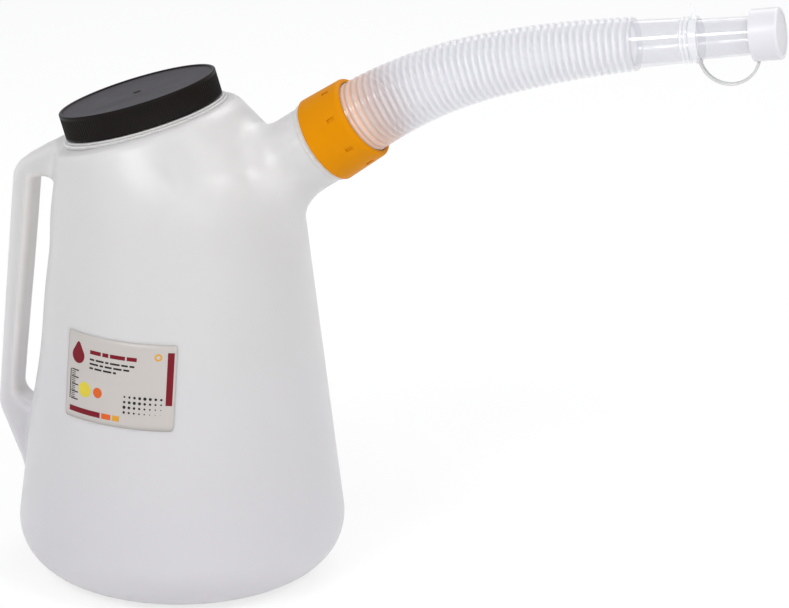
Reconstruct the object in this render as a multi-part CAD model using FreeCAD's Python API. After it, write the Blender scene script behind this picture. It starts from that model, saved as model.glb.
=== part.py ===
"""Five litre oil jug with a screwed filler lid and a flexible pouring spout.

Frame: millimetres, Z up, origin on the floor at the centre of the round base.
+X is the pouring side, -X the handle side, and the jug is symmetric about Y = 0.
The filler neck leans back over the handle and the spout neck rises forwards.
Both neck axes start at one point on the jug's own axis, at the height axes_meet_z.
Along a neck, a distance is always measured from that point.
"""
import FreeCAD, Part
import math
import os

V = FreeCAD.Vector

# ---- blown body ----
foot_radius = 99.5          # where the slanted side would meet the floor
foot_rounding = 28.0
side_draft = 7.3            # degrees
wall = 1.6
axes_meet_z = 203.0
shelf_inset = 20.1          # flat shelf's edge inside the slanted side, where the neck axes meet
shoulder_flare = 27.7       # degrees, the shoulder cone widens downwards about the filler axis
shoulder_rounding = 10.0

# ---- filler neck and lid, along the filler axis ----
filler_tilt = 17.4          # degrees back from vertical
filler_face = 66.5          # distance to the flat shelf around the neck
filler_neck_wall = 2.0
filler_thread_pitch = 5.0
filler_thread_turns = 1.8
filler_thread_start = 3.4   # height of the thread's first turn above the shelf
lid_thread_turns = 1.2
lid_radius = 46.5
lid_wall = 2.4
lid_height = 14.8
lid_top_thickness = 2.0
lid_gap = 3.0               # between the shelf and the skirt's lower edge
lid_rim_height = 0.8
lid_rim_width = 1.8
lid_rim_rounding = 0.6
filler_neck_foot = 8.0      # how far the neck's wall reaches down inside the shelf
neck_bead_heights = (1.2, 2.4)
neck_bead_edges = (2.1, 0.8)    # how far the beads stand out past the lid
seal_thickness = 1.2
seal_clearance = 0.4
gate_nub = (2.0, 0.5)       # radius, height above the recessed top

# ---- spout neck and collar nut, along the spout axis ----
spout_rise = 35.3           # degrees up from the horizontal
spout_neck_radius = 23.4
spout_neck_blend_shares = (0.11, 0.49)   # of the body's radius, on top of the neck and under it
spout_thread_radius = 21.5
spout_neck_bore = 19.5
spout_thread_pitch = 5.0
spout_thread_turns = 2.8
spout_thread_start = 4.0    # from the collar's jug end
neck_step_back = 1.0         # wide part of the neck ends this far under the collar
collar_start = 107.8
collar_length = 27.5
collar_radius_jug = 25.6
collar_radius_hose = 24.6
collar_edge_roundings = (2.4, 0.75)   # hose end, jug end
collar_lip = 2.5
collar_mouth_radius = 21.9
collar_pockets = 8
collar_pocket = (4.6, 2.2, 0.7)   # length, width, depth
collar_pocket_inset = 8.4
neck_bead_back = 4.2        # spout neck bead, back from the collar
neck_bead_size = 0.8        # how far it stands out, and half its width
gasket_thickness = 1.5
sleeve_step = 0.1           # from the hose's flange to its plain sleeve
flange_thickness = 2.4

# ---- threads and running fits ----
thread_depth = 1.5
thread_root = 2.2
thread_crest = 1.0
thread_clearance = 0.4
thread_sink = 0.4           # how far a ridge reaches into the wall that carries it
running_gap = 0.3
overlap = 1.0               # how far a cutting or joining tool reaches past its face

# ---- corrugated hose ----
hose_lead = 0.4             # straight stretch past the collar's lip
hose_bend_lengths = (81.0, 84.0)
hose_bend_angles = (17.8, 8.2)   # degrees turned down
hose_ridges = 42
hose_valley_at = 0.3        # shares of a ridge's pitch
hose_crest_at = 0.75
hose_bore_rings = 15
hose_crest_start = 21.5
hose_crest_end = 14.9
hose_ridge_depth = 1.6
hose_wall = 0.8

# ---- nozzle, along its own axis from the hose's end ----
nozzle_spigot = 9.0
nozzle_root_radius = 13.3
nozzle_beads_at = (27.6, 30.0)
nozzle_bead = 0.7
nozzle_step_at = 31.0
nozzle_step_length = 0.5
nozzle_step_radii = (12.2, 11.2)
nozzle_tip_radius = 10.3
nozzle_length = 77.4
nozzle_wall = 1.1
nozzle_rim = 1.6
nozzle_rim_slope = 1.0

# ---- nozzle cap and its tether ----
cap_cover = 12.2            # length of nozzle inside the cap
cap_length = 15.9
cap_radius = 14.2
cap_wall = 1.7
cap_edge_rounding = 1.6
cap_mouth_rounding = 0.5
cap_dish = (0.8, 0.6)       # flat ring left around it, depth
cap_plug_depth = 5.0
tether_ring_at = 31.7
tether_ring_width = 4.4
tether_ring_wall = 1.4
tether_ring_rounding = 0.45
tether_ring_clearance = 0.1
tether_strap = (1.7, 4.2)   # thickness, width
tether_sag = 13.4
tether_stalk_radius = 1.1
tether_stalk_foot = 0.6     # how far stalk and strap sink into the ring
tether_stalk_height = 7.2
tether_knob_radius = 1.7

# ---- handle, in the plane Y = 0 ----
handle_depth = 12.5         # across the grip, away from the body
handle_width = 21.0         # along Y
handle_edge_rounding = 5.0
handle_root_blend = 4.0
handle_top = (32.0, 29.7)   # corner above where the neck axes meet, and out from the side
handle_low = (85.4, 24.0)   # corner above the floor, and out from the side
handle_root = (35.0, -3.4)  # lower end above the floor, and out from the side
handle_rise = 31.8          # degrees, slope of the upper arm
handle_top_drop = 0.5       # upper arm below the filler shelf
handle_corner_radii = (30.0, 17.0, 20.0)
finger_gap_floor = (91.0, 10.8)   # above the floor, and out from the side
finger_gap_floor_slope = -35.0
finger_gap_roof_slope = 8.0
finger_gap_radii = (4.5, 9.0)   # upper and lower corner

# ---- label ----
label_width = 70.7
label_height = 49.6
label_middle_z = 136.0
label_turn = -96.6          # degrees about Z from +X
label_thickness = 0.25
label_gap = 0.1
label_corner = 1.0


def direction(angle):
    """Unit vector in the plane Y = 0, at an angle up from +X."""
    a = math.radians(angle)
    return V(math.cos(a), 0, math.sin(a))


neck_origin = V(0, 0, axes_meet_z)
filler_axis = direction(90 + filler_tilt)
spout_axis = direction(spout_rise)
side_slope = math.tan(math.radians(side_draft))
lid_bore = lid_radius - lid_wall
filler_neck_radius = lid_bore - thread_clearance - thread_depth


def side_radius(z):
    return foot_radius - side_slope * z


shoulder_radius = side_radius(axes_meet_z)
shelf_radius = shoulder_radius - shelf_inset


def beside(height, reach):
    """Point in the plane Y = 0 on the handle side, some way out from the slanted side."""
    return (-side_radius(height) - reach, height)


def turned(profile, origin, axis):
    """Solid of revolution from (distance, radius) points about an axis."""
    wire = Part.makePolygon([V(r, 0, s) for s, r in profile + profile[:1]])
    solid = Part.Face(wire).revolve(V(0, 0, 0), V(0, 0, 1), 360)
    return placed(solid, origin, axis)


def placed(shape, origin, axis):
    """Move a shape built along +Z so that its +Z lies along axis, +X staying in Y = 0."""
    z = V(axis)
    y = V(0, 1, 0)
    x = y.cross(z)
    m = FreeCAD.Matrix(x.x, y.x, z.x, origin.x, x.y, y.y, z.y, origin.y,
                       x.z, y.z, z.z, origin.z, 0, 0, 0, 1)
    moved = shape.copy()
    moved.Placement = FreeCAD.Placement(m).multiply(moved.Placement)
    return moved


def along(origin, axis, distance):
    return origin + V(axis) * distance


def cylinder(radius, start, end, origin, axis):
    return Part.makeCylinder(radius, end - start, along(origin, axis, start), axis)


def circle_edges(solid, distance, radius, origin, axis):
    """Circular edges of a turned solid at one distance and radius."""
    centre = along(origin, axis, distance)
    found = []
    for edge in solid.Edges:
        curve = edge.Curve
        if not isinstance(curve, Part.Circle):
            continue
        if (curve.Center - centre).Length < 0.01 and abs(curve.Radius - radius) < 0.01:
            found.append(edge)
    return found


# ------------------------------------------------------------------ blown body

def side_cone(inset):
    """Round slanted body with its rounded foot, before the shoulders are cut."""
    top = axes_meet_z + 2 * filler_face
    back = inset / math.cos(math.radians(side_draft))
    low = inset
    floor, up = V(0, 0, 0), V(0, 0, 1)
    profile = [(low, 0), (low, side_radius(low) - back), (top, side_radius(top) - back), (top, 0)]
    solid = turned(profile, floor, up)
    foot = circle_edges(solid, low, side_radius(low) - back, floor, up)
    return solid.makeFillet(foot_rounding - inset, foot)


def shoulder_cone(inset):
    """Cone about the filler axis, flat at the filler shelf and widening down past the foot."""
    flare = math.radians(shoulder_flare)
    back = inset / math.cos(flare)
    top = filler_face - inset
    low = -3 * foot_radius
    profile = [(top, 0), (top, shelf_radius + (filler_face - top) * math.tan(flare) - back),
               (low, shelf_radius + (filler_face - low) * math.tan(flare) - back), (low, 0)]
    return turned(profile, neck_origin, filler_axis)


def shoulders(inset):
    """The slanted body inside the shoulder cone, with every upper edge rounded."""
    solid = side_cone(inset).common(shoulder_cone(inset))
    upper = [e for e in solid.Edges if e.BoundBox.ZMin > axes_meet_z and not lies_in_middle(e)]
    return solid.makeFillet(shoulder_rounding - inset, upper)


def lies_in_middle(edge):
    """True for an edge in the plane Y = 0, such as a turned face's seam."""
    box = edge.BoundBox
    return max(abs(box.YMin), abs(box.YMax)) < 0.01


def spout_stub(inset):
    """Plain spout neck from inside the body to just under the collar."""
    end = collar_start - neck_step_back - 2 * inset
    return cylinder(spout_neck_radius - inset, spout_neck_radius, end, neck_origin, spout_axis)


def junction_edges(solid, inside_a, inside_b, tolerance=0.05):
    """Edges of a fused solid that lie on both of the faces it was fused from."""
    found = []
    for edge in solid.Edges:
        middle = edge.valueAt((edge.FirstParameter + edge.LastParameter) / 2)
        point = Part.Vertex(middle)
        if point.distToShape(inside_a)[0] < tolerance and point.distToShape(inside_b)[0] < tolerance:
            found.append(edge)
    return found


def line_meet(p, angle_p, q, angle_q):
    """Meeting point of two lines in the plane Y = 0, each a point and an angle."""
    a, b = direction(angle_p), direction(angle_q)
    d = V(q[0] - p[0], 0, q[1] - p[1])
    t = (d.x * b.z - d.z * b.x) / (a.x * b.z - a.z * b.x)
    return (p[0] + a.x * t, p[1] + a.z * t)


def shifted(p, angle, distance):
    """A point moved to the right of a heading, in the plane Y = 0."""
    side = direction(angle - 90)
    return (p[0] + side.x * distance, p[1] + side.z * distance)


def rounded_plate(corners, radii, thickness):
    """Plate centred on Y = 0 with some corners rounded; radii is {corner number: radius}."""
    points = [V(x, -thickness / 2, z) for x, z in corners]
    plate = Part.Face(Part.makePolygon(points + points[:1])).extrude(V(0, thickness, 0))
    for number, radius in radii.items():
        x, z = corners[number]
        edges = []
        for edge in plate.Edges:
            middle = edge.valueAt((edge.FirstParameter + edge.LastParameter) / 2)
            if abs(middle.y) < 0.01 and math.hypot(middle.x - x, middle.z - z) < 0.01:
                edges.append(edge)
        plate = plate.makeFillet(radius, edges)
    return plate


def heading(p, q):
    return math.degrees(math.atan2(q[1] - p[1], q[0] - p[0]))


def handle(inset):
    """Hollow handle as a rounded plate with the finger gap through it."""
    top_corner = beside(axes_meet_z + handle_top[0], handle_top[1])
    low_corner = beside(*handle_low)
    root_end = beside(*handle_root)
    grip_angle = heading(low_corner, top_corner)
    root_angle = heading(root_end, low_corner)
    shoulder = along(neck_origin, filler_axis, filler_face - handle_top_drop - inset)
    shoulder = (shoulder.x, shoulder.z)
    grip = shifted(low_corner, grip_angle, inset)
    arm = shifted(top_corner, handle_rise, inset)
    root = shifted(root_end, root_angle, inset)
    core = -foot_radius / 2
    top_inside = (core, shoulder[1] + (core - shoulder[0]) * math.tan(math.radians(filler_tilt)))
    outline = [
        top_inside,
        line_meet(shoulder, filler_tilt, arm, handle_rise),
        line_meet(arm, handle_rise, grip, grip_angle),
        line_meet(grip, grip_angle, root, root_angle),
        root,
        (core, root[1]),
    ]
    r_arm, r_top, r_low = handle_corner_radii
    thickness = handle_width - 2 * inset
    solid = rounded_plate(outline, {1: r_arm - inset, 2: r_top - inset, 3: r_low - inset}, thickness)
    solid = rim_rounded(solid, outline, handle_edge_rounding - inset, thickness)
    gap_grip = shifted(low_corner, grip_angle, handle_depth - inset)
    gap_arm = shifted(top_corner, handle_rise, handle_depth - inset)
    gap_floor = shifted(beside(*finger_gap_floor), finger_gap_floor_slope, inset)
    top = line_meet(gap_grip, grip_angle, gap_arm, handle_rise)
    low = line_meet(gap_grip, grip_angle, gap_floor, finger_gap_floor_slope)
    far_low = (0, low[1] - low[0] * math.tan(math.radians(finger_gap_floor_slope)))
    far_top = (0, top[1] - top[0] * math.tan(math.radians(finger_gap_roof_slope)))
    r_gap_top, r_gap_low = finger_gap_radii
    gap_radii = {0: r_gap_top + inset, 3: r_gap_low + inset}
    gap = rounded_plate([top, far_top, far_low, low], gap_radii, 3 * handle_width)
    solid = solid.cut(gap)
    return gap_rounded(solid, gap, handle_edge_rounding - inset, thickness)


def rim_rounded(plate, outline, radius, thickness):
    """Round the outer rim of the handle plate, from the shoulder round to its root."""
    edges = []
    for edge in plate.Edges:
        middle = edge.valueAt((edge.FirstParameter + edge.LastParameter) / 2)
        if abs(abs(middle.y) - thickness / 2) > 0.01:
            continue
        inner_side = abs(middle.x - outline[0][0]) < 0.01
        underside = abs(middle.z - outline[4][1]) < 0.01
        if not inner_side and not underside:
            edges.append(edge)
    return plate.makeFillet(radius, edges)


def gap_rounded(plate, gap, radius, thickness):
    """Round the finger gap's rim on both sides of the handle."""
    walls = Part.makeShell(gap.Faces)
    edges = []
    for edge in plate.Edges:
        middle = edge.valueAt((edge.FirstParameter + edge.LastParameter) / 2)
        if abs(abs(middle.y) - thickness / 2) > 0.01:
            continue
        if Part.Vertex(middle).distToShape(walls)[0] < 0.01:
            edges.append(edge)
    return plate.makeFillet(radius, edges)


def thread_ridge(radius, pitch, turns, start, outward, origin, axis):
    """Right-handed ridge of trapezoid section on a neck (outward 1) or in a nut (outward -1)."""
    sink = thread_sink
    section = [
        (radius - outward * sink, -thread_root / 2),
        (radius + outward * thread_depth, -thread_crest / 2),
        (radius + outward * thread_depth, thread_crest / 2),
        (radius - outward * sink, thread_root / 2),
    ]
    profile = Part.makePolygon([V(r, 0, z) for r, z in section + section[:1]])
    path = Part.Wire(Part.makeHelix(pitch, pitch * turns, radius).Edges)
    ridge = path.makePipeShell([profile], True, True)
    return placed(ridge, along(origin, axis, start), axis)


def neck_blended(necked, seam, inset):
    """Fillet the spout neck's seam, small on top of the neck and growing towards its underside."""
    top, low = [share * shoulder_radius for share in spout_neck_blend_shares]
    up = direction(spout_rise + 90)

    def radius_at(point):
        out = point - neck_origin
        out = (out - spout_axis * out.dot(spout_axis)).normalize()
        return top + (low - top) * (1 - out.dot(up)) / 2 + inset

    document = FreeCAD.newDocument()
    source = document.addObject("Part::Feature", "necked")
    source.Shape = necked
    fillet = document.addObject("Part::Fillet", "blend")
    fillet.Base = source
    blends = []
    for number, edge in enumerate(necked.Edges, 1):
        if any(edge.isSame(one) for one in seam):
            ends = edge.valueAt(edge.FirstParameter), edge.valueAt(edge.LastParameter)
            blends.append((number, radius_at(ends[0]), radius_at(ends[1])))
    fillet.Edges = blends
    document.recompute()
    blended = fillet.Shape.copy()
    FreeCAD.closeDocument(document.Name)
    return blended


def jug_skin(inset):
    """Outside (inset 0) or inside (inset wall) of the blown body with spout neck and handle."""
    body = shoulders(inset)
    stub = spout_stub(inset)
    round_side = Part.makeShell([f for f in stub.Faces if isinstance(f.Surface, Part.Cylinder)])
    necked = body.fuse(stub)
    seam = junction_edges(necked, Part.makeShell(body.Faces), round_side)
    necked = neck_blended(necked, seam, inset)
    grip = handle(inset)
    whole = necked.fuse(grip)
    seam = junction_edges(whole, Part.makeShell(necked.Faces), Part.makeShell(grip.Faces))
    return whole.makeFillet(handle_root_blend + inset, seam)


# distances along the two neck axes that several pieces share
lid_bottom = filler_face + lid_gap
lid_top = lid_bottom + lid_height
lid_ceiling = lid_top - lid_rim_height - lid_top_thickness
filler_rim = lid_ceiling - seal_thickness

collar_end = collar_start + collar_length
flange_outer = collar_end - collar_lip - running_gap / 2
flange_inner = flange_outer - flange_thickness
spout_rim = flange_inner - gasket_thickness
collar_bore = spout_thread_radius + thread_depth + thread_clearance


def make_jug_body():
    o, f, s = neck_origin, filler_axis, spout_axis
    neck_inside = collar_start - spout_neck_radius
    outside = jug_skin(0.0)
    low = filler_face - filler_neck_foot
    outside = outside.fuse(cylinder(filler_neck_radius, low, filler_rim, o, f))
    for height, edge in zip(neck_bead_heights, neck_bead_edges):
        bead = cylinder(lid_radius + edge, filler_face - overlap, filler_face + height, o, f)
        outside = outside.fuse(bead)
    outside = outside.fuse(cylinder(spout_thread_radius, neck_inside, spout_rim, o, s))
    middle = collar_start - neck_bead_back
    bead = turned([(middle - 2 * neck_bead_size, spout_neck_radius - overlap),
                   (middle - neck_bead_size, spout_neck_radius + neck_bead_size),
                   (middle + neck_bead_size, spout_neck_radius + neck_bead_size),
                   (middle + 2 * neck_bead_size, spout_neck_radius - overlap)], o, s)
    outside = outside.fuse(bead)
    inside = jug_skin(wall)
    filler_bore = filler_neck_radius - filler_neck_wall
    inside = inside.fuse(cylinder(filler_bore, low - wall, filler_rim + overlap, o, f))
    inside = inside.fuse(cylinder(spout_neck_bore, neck_inside, spout_rim + overlap, o, s))
    body = outside.cut(inside)
    body = body.fuse(thread_ridge(filler_neck_radius, filler_thread_pitch, filler_thread_turns,
                                  filler_face + filler_thread_start, 1, o, f))
    return body.fuse(thread_ridge(spout_thread_radius, spout_thread_pitch, spout_thread_turns,
                                  collar_start + spout_thread_start, 1, o, s))


def make_filler_lid():
    o, f = neck_origin, filler_axis
    rim_inner = lid_radius - lid_rim_width
    lid = turned([(lid_bottom, lid_bore), (lid_bottom, lid_radius), (lid_top, lid_radius),
                  (lid_top, rim_inner), (lid_top - lid_rim_height, rim_inner),
                  (lid_top - lid_rim_height, 0),
                  (lid_ceiling, 0), (lid_ceiling, lid_bore)], o, f)
    lid = lid.makeFillet(lid_rim_rounding, circle_edges(lid, lid_top, lid_radius, o, f)
                         + circle_edges(lid, lid_top, rim_inner, o, f))
    nub_radius, nub_height = gate_nub
    recess = lid_top - lid_rim_height
    nub = cylinder(nub_radius, recess - lid_top_thickness / 2, recess + nub_height, o, f)
    ridge = thread_ridge(lid_bore, filler_thread_pitch, lid_thread_turns,
                         filler_face + filler_thread_start + filler_thread_pitch / 2, -1, o, f)
    return lid.fuse(nub).fuse(ridge)


def make_filler_seal():
    return cylinder(lid_bore - seal_clearance, filler_rim, lid_ceiling, neck_origin, filler_axis)


def make_spout_collar():
    o, s = neck_origin, spout_axis
    lip = collar_end - collar_lip
    nut = turned([(collar_start, collar_bore), (collar_start, collar_radius_jug),
                  (collar_end, collar_radius_hose), (collar_end, collar_mouth_radius),
                  (lip, collar_mouth_radius), (lip, collar_bore)], o, s)
    at_hose, at_jug = collar_edge_roundings
    nut = nut.makeFillet(at_hose, circle_edges(nut, collar_end, collar_radius_hose, o, s))
    nut = nut.makeFillet(at_jug, circle_edges(nut, collar_start, collar_radius_jug, o, s))
    length, width, depth = collar_pocket
    middle = collar_end - collar_pocket_inset
    taper = (collar_radius_jug - collar_radius_hose) / collar_length
    surface = collar_radius_hose + taper * (collar_end - middle)
    for number in range(collar_pockets):
        tool = Part.makeBox(2 * depth, width, length, V(surface - depth, -width / 2, middle - length / 2))
        tool.rotate(V(0, 0, 0), V(0, 0, 1), 360.0 * (number + 0.5) / collar_pockets)
        nut = nut.cut(placed(tool, o, s))
    ridge = thread_ridge(collar_bore, spout_thread_pitch, spout_thread_turns,
                         collar_start + spout_thread_start - spout_thread_pitch / 2, -1, o, s)
    return nut.fuse(ridge)


def make_spout_gasket():
    o, s = neck_origin, spout_axis
    ring = cylinder(collar_bore - seal_clearance, spout_rim, flange_inner, o, s)
    return ring.cut(cylinder(spout_neck_bore, spout_rim - overlap, flange_inner + overlap, o, s))


# ------------------------------------------------------------------ hose

hose_start = collar_end + hose_lead
hose_length = sum(hose_bend_lengths)


def hose_frame(distance):
    """Centre point and rise of the hose, at a distance past the collar (negative is inside it)."""
    point = along(neck_origin, spout_axis, hose_start)
    rise = spout_rise
    if distance <= 0:
        return along(point, spout_axis, distance), rise
    for length, turn in zip(hose_bend_lengths, hose_bend_angles):
        step = min(distance, length)
        turned_by = turn * step / length
        radius = length / math.radians(turn)
        chord = 2 * radius * math.sin(math.radians(turned_by) / 2)
        point = point + direction(rise - turned_by / 2) * chord
        rise = rise - turned_by
        distance -= step
        if distance <= 0:
            break
    return point, rise


def hose_ring(distance, radius):
    point, rise = hose_frame(distance)
    return Part.Wire(Part.Circle(point, direction(rise), radius).toShape())


def hose_crest(distance):
    share = max(0.0, min(1.0, distance / hose_length))
    return hose_crest_start + (hose_crest_end - hose_crest_start) * share


def hose_bore(distance):
    return hose_crest(distance) - hose_ridge_depth - hose_wall


def make_spout_hose():
    """Corrugated hose: ruled cones from ring to ring outside, a smooth tapered bore inside."""
    flange_radius = collar_bore - seal_clearance
    back = flange_outer - hose_start
    outer = [hose_ring(back - flange_thickness, flange_radius), hose_ring(back, flange_radius),
             hose_ring(back + sleeve_step, hose_crest_start), hose_ring(0, hose_crest_start)]
    pitch = hose_length / hose_ridges
    for number in range(hose_ridges):
        valley = (number + hose_valley_at) * pitch
        crest = (number + hose_crest_at) * pitch
        outer.append(hose_ring(valley, hose_crest(valley) - hose_ridge_depth))
        outer.append(hose_ring(crest, hose_crest(crest)))
    outer.append(hose_ring(hose_length, hose_crest(hose_length) - hose_ridge_depth / 2))
    inner = [hose_ring(back - flange_thickness - overlap, hose_bore(0))]
    for number in range(hose_bore_rings):
        distance = hose_length * number / (hose_bore_rings - 1)
        inner.append(hose_ring(distance, hose_bore(distance)))
    point, rise = hose_frame(hose_length)
    beyond = Part.Circle(point + direction(rise) * overlap, direction(rise), hose_bore(hose_length))
    inner.append(Part.Wire(beyond.toShape()))
    return Part.makeLoft(outer, True, True).cut(Part.makeLoft(inner, True, True))


# ------------------------------------------------------------------ nozzle, cap and tether

nozzle_origin, nozzle_rise = hose_frame(hose_length)
nozzle_axis = direction(nozzle_rise)


def nozzle_point(distance, height):
    """Point in the plane Y = 0: distance along the nozzle, height square to it."""
    return nozzle_origin + nozzle_axis * distance + direction(nozzle_rise + 90) * height


def nozzle_radius(distance):
    if distance <= nozzle_step_at:
        share = max(0.0, distance) / nozzle_step_at
        return nozzle_root_radius + (nozzle_step_radii[0] - nozzle_root_radius) * share
    share = (distance - nozzle_step_at) / (nozzle_length - nozzle_step_at)
    return nozzle_step_radii[1] + (nozzle_tip_radius - nozzle_step_radii[1]) * share


cap_start = nozzle_length - cap_cover
spigot_radius = hose_bore(hose_length) - running_gap
tip_bore = nozzle_tip_radius - nozzle_wall
cap_bore = cap_radius - cap_wall
rim_radius = cap_bore - running_gap


def make_spout_nozzle():
    w = nozzle_wall
    step = nozzle_step_at
    rim = nozzle_length - nozzle_rim
    profile = [(-nozzle_spigot, spigot_radius), (running_gap, spigot_radius),
               (running_gap, nozzle_root_radius)]
    for place in nozzle_beads_at:
        base = nozzle_radius(place)
        profile += [(place - nozzle_bead, base), (place - nozzle_bead / 2, base + nozzle_bead),
                    (place + nozzle_bead / 2, base + nozzle_bead), (place + nozzle_bead, base)]
    profile += [(step, nozzle_step_radii[0]), (step + nozzle_step_length, nozzle_step_radii[1]),
                (rim - nozzle_rim_slope, nozzle_radius(rim - nozzle_rim_slope)),
                (rim, rim_radius), (nozzle_length, rim_radius),
                (nozzle_length, tip_bore), (step + nozzle_step_length, nozzle_step_radii[1] - w),
                (step, spigot_radius - w), (-nozzle_spigot, spigot_radius - w)]
    return turned(profile, nozzle_origin, nozzle_axis)


def make_spout_cap():
    o, a = nozzle_origin, nozzle_axis
    end = cap_start + cap_length
    floor = end - cap_wall
    cap = turned([(cap_start, cap_bore), (cap_start, cap_radius), (end, cap_radius), (end, 0),
                  (floor, 0), (floor, cap_bore)], o, a)
    cap = cap.makeFillet(cap_edge_rounding, circle_edges(cap, end, cap_radius, o, a))
    cap = cap.makeFillet(cap_mouth_rounding, circle_edges(cap, cap_start, cap_radius, o, a))
    plug_radius = tip_bore - running_gap
    plug = cylinder(plug_radius, floor - cap_plug_depth, floor + cap_wall / 2, o, a)
    plug = plug.cut(cylinder(plug_radius - cap_wall, floor - cap_plug_depth, floor, o, a))
    dish_ring, dish_depth = cap_dish
    dish = cylinder(cap_radius - cap_edge_rounding - dish_ring, end - dish_depth, end + overlap, o, a)
    return cap.cut(dish).fuse(plug)


def make_cap_tether():
    """Ring on the nozzle with a pull stalk on top and a strap looping under to the cap."""
    o, a = nozzle_origin, nozzle_axis
    bore = nozzle_radius(tether_ring_at) + tether_ring_clearance
    outer = bore + tether_ring_wall
    ring_end = tether_ring_at + tether_ring_width
    ring = cylinder(outer, tether_ring_at, ring_end, o, a)
    ring = ring.makeFillet(tether_ring_rounding, circle_edges(ring, tether_ring_at, outer, o, a)
                           + circle_edges(ring, ring_end, outer, o, a))
    middle = tether_ring_at + tether_ring_width / 2
    up = direction(nozzle_rise + 90)
    foot = nozzle_point(middle, outer - tether_stalk_foot)
    stalk = Part.makeCylinder(tether_stalk_radius, tether_stalk_height, foot, up)
    tip = foot + up * tether_stalk_height
    root = Part.makeCone(2 * tether_stalk_radius, tether_stalk_radius, 2 * tether_stalk_radius, foot, up)
    ring = ring.fuse(stalk).fuse(Part.makeSphere(tether_stalk_radius, tip)).fuse(root)
    thick, width = tether_strap
    strap_low = outer - thick / 2
    start = nozzle_point(tether_ring_at + tether_ring_width / 2, -strap_low)
    turn = nozzle_point(ring_end - tether_knob_radius, -strap_low)
    knob = Part.makeCylinder(tether_knob_radius, (turn - start).Length, start, a)
    knob = knob.fuse(Part.makeSphere(tether_knob_radius, turn))
    end = nozzle_point(cap_start + tether_knob_radius, -cap_radius)
    middle = nozzle_point((ring_end + cap_start) / 2, -(outer + tether_sag))
    arc = Part.Arc(turn, middle, end)
    centre = arc.toShape().Curve.Center
    arm = turn - centre
    swept = math.degrees(arm.getAngle(middle - centre) + (middle - centre).getAngle(end - centre))
    section = Part.makePolygon([
        turn + arm.normalize() * side_a * thick / 2 + V(0, side_b * width / 2, 0)
        for side_a, side_b in ((-1, -1), (1, -1), (1, 1), (-1, 1), (-1, -1))])
    strap = Part.Face(section).revolve(centre, V(0, -1, 0), swept)
    tether = ring.fuse(knob).fuse(strap)
    tether = tether.cut(cylinder(bore, tether_ring_at - overlap, ring_end + 2 * tether_knob_radius, o, a))
    return tether.cut(cylinder(cap_radius + running_gap, cap_start - overlap, cap_start + cap_length, o, a))


# ------------------------------------------------------------------ label

def make_label():
    """Thin label wrapped on the slanted side."""
    radius = side_radius(label_middle_z)
    chord = 2 * radius * math.sin(label_width / (2 * radius))
    w, h = chord / 2, label_height / 2
    corners = [(-w, -h), (w, -h), (w, h), (-w, h)]
    plate = rounded_plate(corners, {n: label_corner for n in range(4)}, foot_radius)
    plate.rotate(V(0, 0, 0), V(1, 0, 0), -side_draft)
    plate.translate(V(0, -radius, label_middle_z))
    plate.rotate(V(0, 0, 0), V(0, 0, 1), label_turn + 90)
    cone = label_cone(label_gap + label_thickness).cut(label_cone(label_gap))
    return cone.common(plate)


def label_cone(outset):
    low, high = label_middle_z - label_height, label_middle_z + label_height
    out = outset / math.cos(math.radians(side_draft))
    return Part.makeCone(side_radius(low) + out, side_radius(high) + out, high - low, V(0, 0, low))


makers = {
    "jug_body": make_jug_body,
    "filler_lid": make_filler_lid,
    "filler_seal": make_filler_seal,
    "spout_collar": make_spout_collar,
    "spout_gasket": make_spout_gasket,
    "spout_hose": make_spout_hose,
    "spout_nozzle": make_spout_nozzle,
    "spout_cap": make_spout_cap,
    "cap_tether": make_cap_tether,
    "label": make_label,
}

os.makedirs("parts", exist_ok=True)
for name, make in makers.items():
    shape = make()
    shape = shape.Solids[0] if len(shape.Solids) == 1 else shape
    shape.exportStep("parts/" + name + ".step")
    state = "valid" if shape.isValid() else "BROKEN"
    print(name, state, len(shape.Solids), "solid", round(shape.Volume / 1000, 2), "cm3")
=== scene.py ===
"""Oil jug: its looks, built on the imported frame.

Lengths are millimetres until mesh_piece() turns them into metres. Materials, lamps and camera are in metres.
"""
import bpy
import itertools
import math
import numpy as np
from mathutils import Matrix, Vector


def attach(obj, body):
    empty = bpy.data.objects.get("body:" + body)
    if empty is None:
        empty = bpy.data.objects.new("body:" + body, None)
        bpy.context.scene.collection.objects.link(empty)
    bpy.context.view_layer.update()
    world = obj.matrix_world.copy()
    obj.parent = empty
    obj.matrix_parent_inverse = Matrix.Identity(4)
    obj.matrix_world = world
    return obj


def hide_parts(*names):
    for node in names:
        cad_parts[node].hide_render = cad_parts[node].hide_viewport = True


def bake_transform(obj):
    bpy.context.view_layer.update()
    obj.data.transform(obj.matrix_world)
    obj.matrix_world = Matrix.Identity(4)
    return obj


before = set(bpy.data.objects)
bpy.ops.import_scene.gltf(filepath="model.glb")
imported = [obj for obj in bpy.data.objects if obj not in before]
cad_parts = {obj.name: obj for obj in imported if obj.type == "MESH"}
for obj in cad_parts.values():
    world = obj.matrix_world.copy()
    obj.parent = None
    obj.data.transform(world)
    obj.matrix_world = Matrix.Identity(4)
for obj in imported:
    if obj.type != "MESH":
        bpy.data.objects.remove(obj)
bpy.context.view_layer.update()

MM = 0.001

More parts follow.
